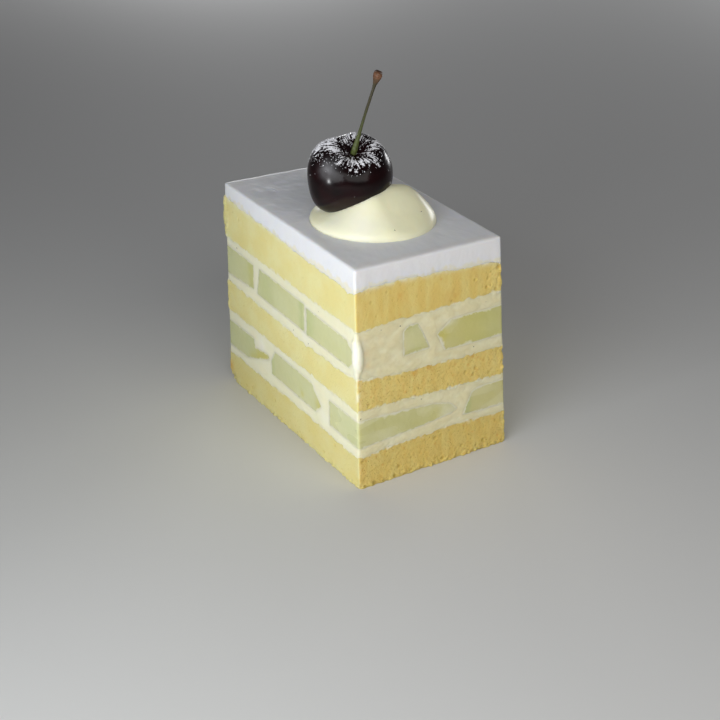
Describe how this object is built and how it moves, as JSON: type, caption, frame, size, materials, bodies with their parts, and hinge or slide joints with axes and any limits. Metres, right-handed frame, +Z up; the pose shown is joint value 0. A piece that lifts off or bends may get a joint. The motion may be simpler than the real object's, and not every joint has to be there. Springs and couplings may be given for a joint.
{
  "type": "melon cake slice",
  "caption": "Rectangular slice of layered sponge cake with cream and melon pieces in its fillings, a smooth cream top, a vanilla cream dollop and a sugared dark cherry with its stem.",
  "frame": {"origin": "middle of the slice's foot, on the surface that it stands on", "axes": "+Z up, -Y out of the long cut face, +X out of the short cut face"},
  "size_m": [0.0778, 0.0504, 0.1111],
  "materials": {
    "sponge": "matt, open golden crumb",
    "filling_cream": "smooth whipped cream with vanilla specks",
    "top_cream": "smooth white cream, spread flat",
    "melon": "moist, translucent pale green flesh",
    "dollop_cream": "smooth pale vanilla cream, softly glossy",
    "cherry_skin": "glossy near-black red skin",
    "cherry_stem": "green stalk that browns towards its end",
    "sugar": "fine white powdered sugar",
    "vanilla_seed": "tiny dark vanilla seeds"
  },
  "bodies": {
    "root": {"sponge_bottom": "sponge", "sponge_middle": "sponge", "sponge_top": "sponge", "cream_lower": "filling_cream", "cream_upper": "filling_cream", "cream_top": "top_cream", "melon_lower_end": "melon", "melon_lower_end_back": "melon", "melon_lower_middle": "melon", "melon_lower_corner": "melon", "melon_lower_side": "melon", "melon_upper_end": "melon", "melon_upper_end_back": "melon", "melon_upper_middle": "melon", "melon_upper_corner": "melon", "melon_upper_wedge": "melon", "melon_upper_side": "melon", "dollop": "dollop_cream", "cherry": "cherry_skin", "cherry_stem": "cherry_stem"}
  },
  "joints": []
}
